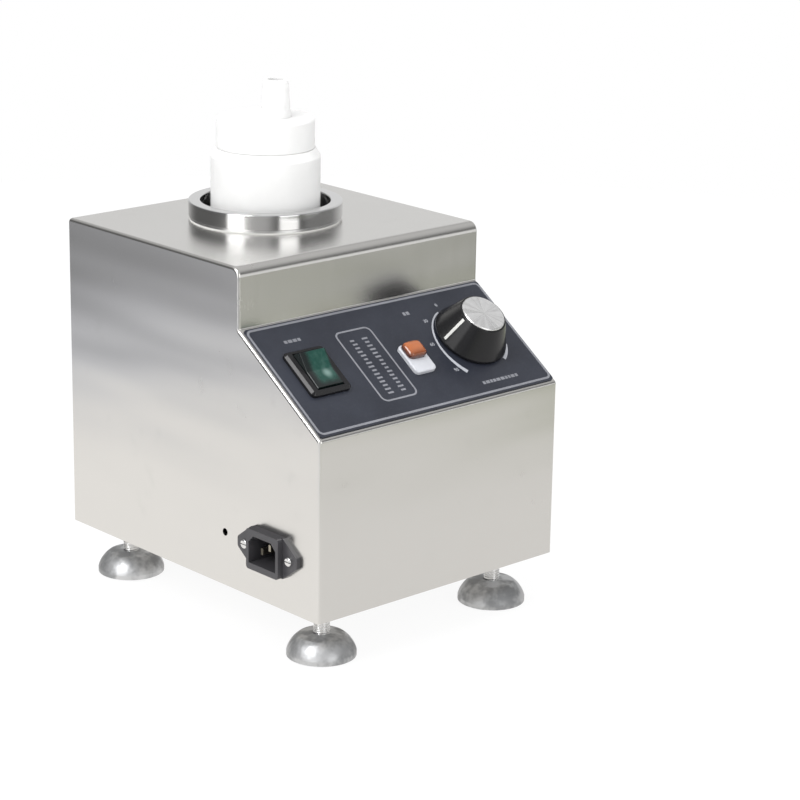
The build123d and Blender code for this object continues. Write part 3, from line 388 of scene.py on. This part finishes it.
def spunCap(name):
    look = spunDisc
    metal = Finish(name, metallic=1.0)
    across, along = metal.along(knobFoot, panelAcross, panelAlong)
    radius = (across * across + along * along) ** 0.5
    rings = metal.rings(radius * look["rings"], 3.0)
    heading = metal.node("ShaderNodeCombineXYZ", None, {0: across / radius, 1: along / radius})
    # Painted highlight: bright and dim rays by bearing round the knob's axis, painted into the colour
    rays = metal.noiseOver(heading, look["rays"], 2.0, 0.6).span(0.38, 0.62)
    # Dark blotches at random over the disc
    darkBlotches = metal.noise(look["wear"], 3.0, 0.6).span(0.50, 0.75)
    tone = rings * 0.10 + rays * 0.16 - darkBlotches * 0.10 + look["tone"]
    metal.set("colour", metal.blend(tone, grey(0), grey(1.0)))
    metal.set("roughness", rings * 0.10 + rays * 0.08 + look["rough"])
    metal.set("normal", metal.bump(rings, 0.25, 0.0003))
    finishes[name] = metal.material


# Rocker: deep clear green with painted shade at its sides and lower end, and a painted pale highlight
rockerTint = {
    "left": (-7.6, -2.6),  # where the painted shade fades, mm from the pivot across and along
    "right": (7.4, 9.6),
    "low": (-13.0, -7.0),
    # the painted highlight: its middle, and the radii where it is full and where it has faded
    "spot": (3.2, -4.4),
    "spotRadii": (0.2, 4.4),
    # Colours: the painted shade, the green, clouds in the green, and the painted highlight
    "dark": (0.003, 0.006, 0.006),
    "deep": (0.004, 0.036, 0.027),
    "cloud": (0.05, 0.105, 0.09),
    "pale": (0.15, 0.225, 0.205),
}


def rockerPlastic(name):
    look = rockerTint
    plastic = Finish(name, specular=0.3, coat=0.35, coatRoughness=0.06)
    middle = onPanel(switchSpot["across"], switchSpot["along"], 0)
    across, along = plastic.along(middle, panelAcross, panelAlong)
    cloud = plastic.noise(260)
    left, right, low, spot, radii = (
        [length * mm for length in look[key]] for key in ("left", "right", "low", "spot", "spotRadii")
    )
    # Painted shade: dark at the sides and at the lower end, the green only in the middle
    clear = across.span(*left) * (1 - across.span(*right)) * along.span(*low)
    away = ((across - spot[0]) ** 2.0 + (along - spot[1]) ** 2.0) ** 0.5
    deep = plastic.blend(clear, opaque(look["dark"]), opaque(look["deep"]))
    body = plastic.blend(cloud.span(0.35, 0.75) * clear * 0.30, deep, opaque(look["cloud"]))
    # Painted highlight: a pale spot blended over the green
    plastic.set("colour", plastic.blend((1 - away.span(*radii)) * 0.75, body, opaque(look["pale"])))
    plastic.set("roughness", cloud * 0.06 + 0.10)
    plastic.set("normal", plastic.bump(cloud, 0.03, 0.0003))
    finishes[name] = plastic.material


# Lens: clear amber with a brown painted shade low on it and at the side that faces down the slope
lensTint = {
    "brown": (0.07, 0.016, 0.008),
    "amber": (0.36, 0.10, 0.025),
    "low": 4.4,  # height above the bare steel where the painted shade starts to clear, mm
    "slope": (-9.5, -2.5),  # up the slope from the knob's axis, mm
    "front": 0.25,  # share of the amber that is left at the front
}


def lensPlastic(name):
    look = lensTint
    plastic = Finish(name, coat=0.8, coatRoughness=0.03, through=0.15)
    along, out = plastic.along(knobFoot, panelAlong, panelOut)
    cloud = plastic.noise(300)
    near, far = (length * mm for length in look["slope"])
    rear = along.span(near, far) * (1 - look["front"]) + look["front"]
    # Painted shade: brown low on the lens and towards its front, amber above and up the slope
    clear = out.span(look["low"] * mm, lampLens["top"] * mm) * rear
    plastic.set("colour", plastic.blend(clear, opaque(look["brown"]), opaque(look["amber"])))
    plastic.set("roughness", cloud * 0.05 + 0.07)
    plastic.set("normal", plastic.bump(cloud, 0.03, 0.0003))
    finishes[name] = plastic.material


# Metals by brightness and roughness, plastics by colour and roughness
def makeFinishes():
    brushedSheet("stainless")
    turnedMetal("polished", 0.66, 0.03, wellAxis, 900, 0.05)
    turnedMetal("zinc_steel", 0.70, 0.16)
    turnedMetal("well_metal", 0.66, 0.22, wellAxis, 900, 0.05)
    castMetal("foot_metal")
    turnedMetal("stud_metal", 0.86, 0.22)
    moulded("black_rubber", (0.03, 0.03, 0.03), 0.7)
    moulded("gasket_rubber", (0.55, 0.55, 0.53), 0.6)
    lacquered("panel_coat")
    moulded("black_plastic", (0.007, 0.007, 0.008), 0.10, depth=0.02, specular=0.32)
    moulded("socket_plastic", (0.042, 0.041, 0.045), 0.28, depth=0.02, specular=0.4)
    spunCap("cap_metal")
    moulded("white_inlay", (0.50, 0.50, 0.48), 0.4)
    rockerPlastic("green_plastic")
    moulded("lamp_white", (0.44, 0.45, 0.48), 0.25, coat=0.3)
    lensPlastic("amber_plastic")
    turnedMetal("brass_blade", 0.34, 0.30, tint=(0.05, 0.02, -0.05))
    fibrous("heater_sheath", (0.55, 0.50, 0.42))
    fibrous("mineral_wool", (0.72, 0.70, 0.60))
    turnedMetal("copper", 0.55, 0.25, tint=(0.25, -0.05, -0.2))
    moulded(
        "bottle_plastic", (0.60, 0.60, 0.597), 0.32, skin=900, depth=0.04, drift=0.955, inside=0.3,
        insideRadius=(0.6, 0.6, 0.6), insideScale=0.004,
    )
    moulded("block_plastic", (0.78, 0.77, 0.72), 0.45)
    moulded("wire_sleeve", (0.10, 0.10, 0.11), 0.5)
    moulded("ink", (0.34, 0.35, 0.38), 0.45)
    moulded("ink_fine", (0.17, 0.175, 0.195), 0.45)


# Pieces whose moulding is greyer than the other black plastic
ownFinish = {"inlet_housing": "socket_plastic"}


def dressNodes():
    for name, made in cadNodes.items():
        made.data.materials.clear()
        made.data.materials.append(finishes[ownFinish.get(name, slots[name])])


# Four-cornered faces of a grid of points; rows and columns may close on themselves
def gridFaces(rows, columns, closeRows=False, closeColumns=False):
    index = np.arange(rows * columns).reshape(rows, columns)
    if closeRows:
        index = np.concatenate([index, index[:1]])
    if closeColumns:
        index = np.concatenate([index, index[:, :1]], axis=1)
    corners = [index[:-1, :-1], index[:-1, 1:], index[1:, 1:], index[1:, :-1]]
    return np.stack(corners, axis=-1).reshape(-1, 4)


# A mesh from a grid of points, whose first and last rows may be capped
def gridMesh(name, points, body, finish, closeRows=False, closeColumns=False, caps=False, smooth=True):
    rows, columns = points.shape[:2]
    faces = gridFaces(rows, columns, closeRows, closeColumns).tolist()
    if caps:
        faces.append(list(range(columns))[::-1])
        faces.append(list(range((rows - 1) * columns, rows * columns)))
    return meshPiece(name, points.reshape(-1, 3), faces, body, finish, smooth)


def meshPiece(name, points, faces, body, finish, smooth=True):
    data = bpy.data.meshes.new(name)
    data.from_pydata(points.tolist(), [], faces)
    data.validate()
    data.materials.append(finishes[finish])
    data.polygons.foreach_set("use_smooth", np.full(len(data.polygons), smooth))
    made = bpy.data.objects.new(name, data)
    bpy.context.collection.objects.link(made)
    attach(made, body)
    return made


# Printed line: a flat four-cornered section carried along a path in the panel's plane, side by side
# with the path's own normal; width may change along it
def printedLine(across, along, width, closed=False):
    across = np.asarray(across, float)
    along = np.asarray(along, float)
    if closed:
        stepX = np.roll(across, -1) - np.roll(across, 1)
        stepY = np.roll(along, -1) - np.roll(along, 1)
    else:
        stepX = np.gradient(across)
        stepY = np.gradient(along)
    length = np.hypot(stepX, stepY)
    normalX, normalY = -stepY / length, stepX / length
    half = np.broadcast_to(np.asarray(width, float) / 2, across.shape)
    lift, thick = panelPrint["lift"], panelPrint["thick"]
    section = [
        onPanel(across + side * half * normalX, along + side * half * normalY, lift + up + 0 * across)
        for side, up in ((1, 0), (-1, 0), (-1, thick), (1, thick))
    ]
    return np.stack(section, axis=1)


# Rounded rectangle: its four quarter circles one after the other, with so many points each
def roundedPath(spec, steps=8):
    width, length, corner = spec["width"], spec["length"], spec["corner"]
    turn = np.linspace(0, pi / 2, steps)
    x, y = [], []
    for quarter, (sideX, sideY) in enumerate(((1, 1), (-1, 1), (-1, -1), (1, -1))):
        angle = turn + quarter * pi / 2
        x.append(sideX * (width / 2 - corner) + corner * np.cos(angle))
        y.append(sideY * (length / 2 - corner) + corner * np.sin(angle))
    return np.concatenate(x) + spec["across"], np.concatenate(y) + spec["along"]


# Everything that is printed on the panel: border, boxed rows, dial wedge and bars, with no words.
# Lengths are in mm, bearings round the knob in degrees
panelPrint = {
    "lift": 1.0,  # the plate's face above the bare steel
    "thick": 0.06,
    "border": dict(across=0.0, along=44.4, width=186.0, length=81.2, line=1.5, corner=3.4),
    "box": dict(across=-22.4, along=42.8, width=27.0, length=55.0, line=1.2, corner=4.0),
    "rows": dict(
        columns=(-27.0, -17.2), low=20.5, high=65.5, pitch=3.0, line=1.3, widths=(2.6, 4.4), shift=0.3,
    ),
    "wedge": dict(start=112, end=230, near=24.5, wind=7.6, curl=2.7, thin=1.1, wide=2.8, swell=3),
    "tail": dict(start=300, end=333, radius=25.0, wide=2.2, thin=1.0),
    "bars": ((-66.5, 72.0, 13.0, 2.2), (55.5, 11.3, 29.0, 2.2), (25.0, 73.6, 6.0, 2.6)),
    "blocks": dict(widths=(1.6, 3.0), least=1.5, gap=0.7),
    "points": 60,  # along the wedge and its tail
    "seed": 4,
}


# A point round the knob, at a bearing and a distance
def roundKnob(degrees, radius):
    angle = np.radians(degrees)
    return knobSpot["across"] + radius * np.cos(angle), knobSpot["along"] + radius * np.sin(angle)


# Middle line of the wedge: it winds outwards by a power of the share that it has come round
def wedgeRadius(degrees):
    wedge = panelPrint["wedge"]
    share = np.clip((degrees - wedge["start"]) / (wedge["end"] - wedge["start"]), 0, 1)
    return wedge["near"] + wedge["wind"] * share ** wedge["curl"]


def printPanel():
    spec = panelPrint
    draw = np.random.default_rng(spec["seed"])
    lines = []  # points, whether the line closes on itself, and its ink

    for outline in (spec["border"], spec["box"]):
        lines.append((printedLine(*roundedPath(outline), outline["line"], True), True, "ink_fine"))

    rows = spec["rows"]
    for column in rows["columns"]:
        for along in np.arange(rows["low"], rows["high"], rows["pitch"]):
            width = draw.uniform(*rows["widths"])
            shift = draw.uniform(-rows["shift"], rows["shift"])
            x = column + shift + np.linspace(-width / 2, width / 2, 4)
            lines.append((printedLine(x, along + 0 * x, rows["line"]), False, "ink_fine"))

    # The wedge widens as it comes round; a short tail ends the scale
    wedge, tail = spec["wedge"], spec["tail"]
    share = np.linspace(0, 1, spec["points"])
    turn = wedge["start"] + (wedge["end"] - wedge["start"]) * share
    width = wedge["thin"] + (wedge["wide"] - wedge["thin"]) * share ** wedge["swell"]
    lines.append((printedLine(*roundKnob(turn, wedgeRadius(turn)), width), False, "ink"))
    turn = tail["start"] + (tail["end"] - tail["start"]) * share
    width = tail["wide"] + (tail["thin"] - tail["wide"]) * share
    lines.append((printedLine(*roundKnob(turn, tail["radius"]), width), False, "ink"))

    # Plain bars where the small labels are, broken into short blocks
    blocks = spec["blocks"]
    for across, along, width, tall in spec["bars"]:
        left = across - width / 2
        while left < across + width / 2 - blocks["least"]:
            right = min(left + draw.uniform(*blocks["widths"]), across + width / 2)
            x = np.linspace(left, right, 3)
            lines.append((printedLine(x, along + 0 * x, tall), False, "ink_fine"))
            left = right + blocks["gap"]

    for number, (points, closed, ink) in enumerate(lines):
        gridMesh(f"panel_print_{number:02d}", points, "housing", ink, closed, True, not closed, False)


# Scale numbers round the dial, plain figures as on any dial
dialNumbers = {
    "figures": (("0", 103), ("30", 141), ("60", 179), ("90", 218)),  # text, and bearing in degrees
    "clear": 4.6,  # mm outside the wedge
    "size": 3.4,
    "roundness": 3,
}


def numberDial():
    spec = dialNumbers
    for text, bearing in spec["figures"]:
        curve = bpy.data.curves.new("figure", "FONT")
        curve.body = text
        curve.size = spec["size"]
        curve.align_x = "CENTER"
        curve.align_y = "CENTER"
        curve.resolution_u = spec["roundness"]
        curve.extrude = panelPrint["thick"] / 2
        holder = bpy.data.objects.new("figure", curve)
        bpy.context.collection.objects.link(holder)
        bpy.context.view_layer.update()
        graph = bpy.context.evaluated_depsgraph_get()
        shape = bpy.data.meshes.new_from_object(holder.evaluated_get(graph))
        flat = np.zeros(len(shape.vertices) * 3)
        shape.vertices.foreach_get("co", flat)
        flat = flat.reshape(-1, 3)
        across, along = roundKnob(bearing, wedgeRadius(bearing) + spec["clear"])
        lift = panelPrint["lift"] + panelPrint["thick"] / 2
        points = onPanel(across + flat[:, 0], along + flat[:, 1], lift + flat[:, 2])
        faces = [list(polygon.vertices) for polygon in shape.polygons]
        bpy.data.objects.remove(holder)
        meshPiece("dial_figure_" + text, points, faces, "housing", "ink", False)


# Lens of the lamp: a rounded square that rises straight and then crowns over like a loaf. Its plan
# is a superellipse; its side is a quarter of one, from the foot of the crown to the pole
lampLens = {
    "across": 6.8, "along": 43.8,  # middle, on the panel, mm
    "width": 14.0, "length": 11.8,
    "foot": 2.5, "shoulder": 4.6, "top": 8.15,  # heights above the bare steel
    "square": 4.5,  # power of the plan's superellipse
    "crownIn": 0.55,  # powers of the crown's cosine and sine
    "crownUp": 0.85,
    "under": (0.02, 0.6, 1.0),  # rings of the flat underside, as shares of its size
    "pole": 0.04,  # and the last ring at the top
    "around": 72,
    "rings": 15,
}


def makeLens():
    spec = lampLens
    turn = np.linspace(0, 2 * pi, spec["around"] + 1)[:-1]
    power = 2 / spec["square"]
    planX = np.sign(np.cos(turn)) * np.abs(np.cos(turn)) ** power
    planY = np.sign(np.sin(turn)) * np.abs(np.sin(turn)) ** power
    rise = np.linspace(0, pi / 2, spec["rings"] + 1)[:-1]
    size = np.concatenate([spec["under"], np.cos(rise) ** spec["crownIn"], [spec["pole"]]])
    crown = spec["shoulder"] + (spec["top"] - spec["shoulder"]) * np.sin(rise) ** spec["crownUp"]
    height = np.concatenate([[spec["foot"]] * len(spec["under"]), crown, [spec["top"]]])
    across = spec["across"] + np.multiply.outer(size, planX) * spec["width"] / 2
    along = spec["along"] + np.multiply.outer(size, planY) * spec["length"] / 2
    points = onPanel(across, along, np.multiply.outer(height, np.ones(len(turn))))
    lens = gridMesh("lamp_lens_dome", points, "housing", "amber_plastic", False, True, True)
    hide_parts("lamp_lens")


# Threaded stud of a foot: round its axis the thread's height over the core goes up and down once in
# each pitch, a turn further on for each turn round; it runs out at both ends
footStud = {
    "pitch": 1.5,  # mm, as the next two are
    "depth": 0.5,
    "runOut": 2.0,
    "steep": 2.4,  # slope of the flanks
    "root": 0.1,  # how wide the bottom of the groove is
    "around": 36,
    "perPitch": 8,
}


def makeStuds():
    spec = footStud
    for name in [node for node in cadNodes if node.startswith("foot_stud_")]:
        low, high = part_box(name)
        tall = (high.z - low.z) / mm
        outer = (high.x - low.x) / 2 / mm
        rows = int(tall / spec["pitch"] * spec["perPitch"])
        z = np.linspace(0, tall, rows)
        turn = np.linspace(0, 2 * pi, spec["around"] + 1)[:-1]
        phase = np.add.outer(z / spec["pitch"], -turn / (2 * pi)) % 1
        ends = np.clip(np.minimum(z, tall - z) / spec["runOut"], 0, 1)
        crest = np.clip(np.abs(phase - 0.5) * spec["steep"] - spec["root"], 0, 1) * ends[:, None]
        radius = outer - spec["depth"] * (1 - crest)
        middle = (low + high) / 2
        x = middle.x + radius * np.cos(turn) * mm
        y = middle.y + radius * np.sin(turn) * mm
        points = np.stack([x, y, low.z + z[:, None] * mm + 0 * x], axis=-1)
        body = name.replace("stud_", "")
        thread = gridMesh(name + "_thread", points, body, "stud_metal", False, True, True)
        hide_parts(name)


# Floor: a pale disc, white to the camera apart from the object's shadow. Metal sees a pool of light
# on it that fades outwards. Distances are in metres, and the front means the front right
floorLook = {
    "rings": (0.0001, 0.1, 0.2, 0.35, 0.5, 1.25),
    "around": 96,
    "paint": 0.86,
    "white": 0.91,  # share of what the camera sees that takes no shadow
    "mirror": 0.9,  # share of what metal sees that is the pool
    "pool": (0.40, 0.95),  # the light starts to fade, and has faded
    "poolFront": 0.10,  # and reaches this much further at the front
    "bright": 0.85,
    "beyond": 0.25,
    "front": (-0.6, 0.9),  # 1 straight to the front, -1 straight to the rear
    "frontDim": 0.20,
    "tintFades": (0.47, 0.64),
    "tintNear": (1.0, 0.98, 0.955),
    "tintRear": (0.935, 0.965, 1.06),
    "tintFront": (0.60, 0.63, 0.47),
}


def makeFloor():
    look = floorLook
    turn = np.linspace(0, 2 * pi, look["around"] + 1)[:-1]
    x = np.multiply.outer(look["rings"], np.cos(turn))
    y = np.multiply.outer(look["rings"], np.sin(turn))
    points = np.stack([x, y, 0 * x], axis=-1).reshape(-1, 3)
    faces = gridFaces(len(look["rings"]), len(turn), closeColumns=True)[:, ::-1]
    data = bpy.data.meshes.new("floor")
    data.from_pydata(points.tolist(), [], faces.tolist())
    floor = bpy.data.objects.new("floor", data)
    bpy.context.collection.objects.link(floor)

    material = bpy.data.materials.new("floor")
    material.use_nodes = True
    paint = Shading(material.node_tree)
    paint.tree.nodes.clear()
    x, y = paint.split(paint.place())[:2]
    away = (x * x + y * y) ** 0.5
    front = ((x - y) / away).span(*look["front"])
    near = 1 - (away - front * look["poolFront"]).span(*look["pool"])
    glow = (near * look["bright"] + look["beyond"]) * (1 - front * look["frontDim"])
    far = paint.blend(front, opaque(look["tintRear"]), opaque(look["tintFront"]))
    tint = paint.blend(away.span(*look["tintFades"]), opaque(look["tintNear"]), far)
    lit = paint.node("ShaderNodeBsdfDiffuse", None, {"Color": grey(look["paint"])})
    white = paint.node("ShaderNodeEmission", None, {"Color": grey(1.0), "Strength": 1.0})
    pool = paint.node("ShaderNodeEmission", None, {"Color": tint, "Strength": glow})
    whiteShare = paint.ray("Is Camera Ray") * look["white"]
    seen = paint.node("ShaderNodeMixShader", None, {0: whiteShare, 1: lit, 2: white})
    poolShare = paint.ray("Is Glossy Ray") * look["mirror"]
    mixed = paint.node("ShaderNodeMixShader", None, {0: poolShare, 1: seen, 2: pool})
    paint.close("ShaderNodeOutputMaterial", mixed)
    data.materials.append(material)


# World: white to the camera; metal sees a dim room with two bright screens, two soft walls, a low
# horizon and a ceiling. Each is a bearing in degrees from the front, positive towards the right side,
# the half widths that are full and that fade out, and a brightness
room = {
    "dim": 0.13,
    "fill": 0.50,  # added all round for matt surfaces only
    "walls": (
        (-85.0, 10.5, 15.5, 2.1),  # left screen
        (-4.0, 12.0, 17.0, 2.1),  # front screen
        (-52.0, 10.0, 34.0, 0.55),  # behind the camera
        (128.0, 12.0, 72.0, 0.72),  # behind the object
    ),
    "wallTop": (0.35, 0.60),  # heights between which they fade, as shares of straight up
    "horizon": (46.0, 16.0, 34.0, 0.90),
    "horizonTop": (0.10, 0.22),
    "ceiling": 0.55,
    "ceilingFrom": (0.25, 0.80),
}


# 1 within so many degrees of a bearing, fading to 0 at the outer half width
def nearBearing(bearing, middle, full, whole):
    turned = bearing - middle
    turned = turned.tree.node("ShaderNodeMath", {"operation": "WRAP"}, {0: turned, 1: 180.0, 2: -180.0})
    return 1 - abs(turned).span(full, whole)


def makeWorld():
    world = bpy.data.worlds.new("studio")
    world.use_nodes = True
    bpy.context.scene.world = world
    sky = Shading(world.node_tree)
    sky.tree.nodes.clear()
    x, y, z = sky.split(sky.node("ShaderNodeTexCoord", output="Generated"))
    bearing = sky.node("ShaderNodeMath", {"operation": "ARCTAN2"}, {0: x, 1: 0 - y}) * (180 / pi)
    low = 1 - z.span(*room["wallTop"])
    light = room["dim"]
    for middle, full, whole, bright in room["walls"]:
        light = light + nearBearing(bearing, middle, full, whole) * low * bright
    middle, full, whole, bright = room["horizon"]
    light = light + nearBearing(bearing, middle, full, whole) * (1 - z.span(*room["horizonTop"])) * bright
    light = light + z.span(*room["ceilingFrom"]) * room["ceiling"]
    light = light + sky.ray("Is Diffuse Ray") * room["fill"]
    seen = sky.node("ShaderNodeBackground", None, {"Color": grey(1.0), "Strength": light})
    white = sky.node("ShaderNodeBackground", None, {"Color": grey(1.0), "Strength": 1.0})
    mixed = sky.node("ShaderNodeMixShader", None, {0: sky.ray("Is Camera Ray"), 1: seen, 2: white})
    sky.close("ShaderNodeOutputWorld", mixed)


# Soft boxes: where they stand, how wide they are, their power in watts, and whether gloss shows them
softBoxes = {
    "left": ((-1.25, -0.15, 1.2), 0.8, 16, True),
    "front": ((0.2, -1.5, 1.0), 0.9, 10, False),
    "top": ((0.1, 0.3, 1.7), 1.2, 9, False),
    "behind": ((-1.0, 0.85, 0.9), 0.8, 6, False),
}
lightTarget = Vector((0, 0, 0.15))


def makeLights():
    for name, (place, size, power, shown) in softBoxes.items():
        data = bpy.data.lights.new(name, "AREA")
        data.shape = "SQUARE"
        data.size = size
        data.energy = power
        made = bpy.data.objects.new(name, data)
        made.location = place
        made.rotation_euler = (lightTarget - Vector(place)).to_track_quat("-Z", "Y").to_euler()
        made.visible_glossy = shown
        bpy.context.collection.objects.link(made)


bpy.context.scene.view_settings.view_transform = "Standard"
placeCamera()
makeFloor()
makeWorld()
makeLights()
print("studio made")
makeFinishes()
dressNodes()
print("finishes made:", len(finishes))
printPanel()
numberDial()
print("panel printed")
makeLens()
makeStuds()
print("lens and studs made")
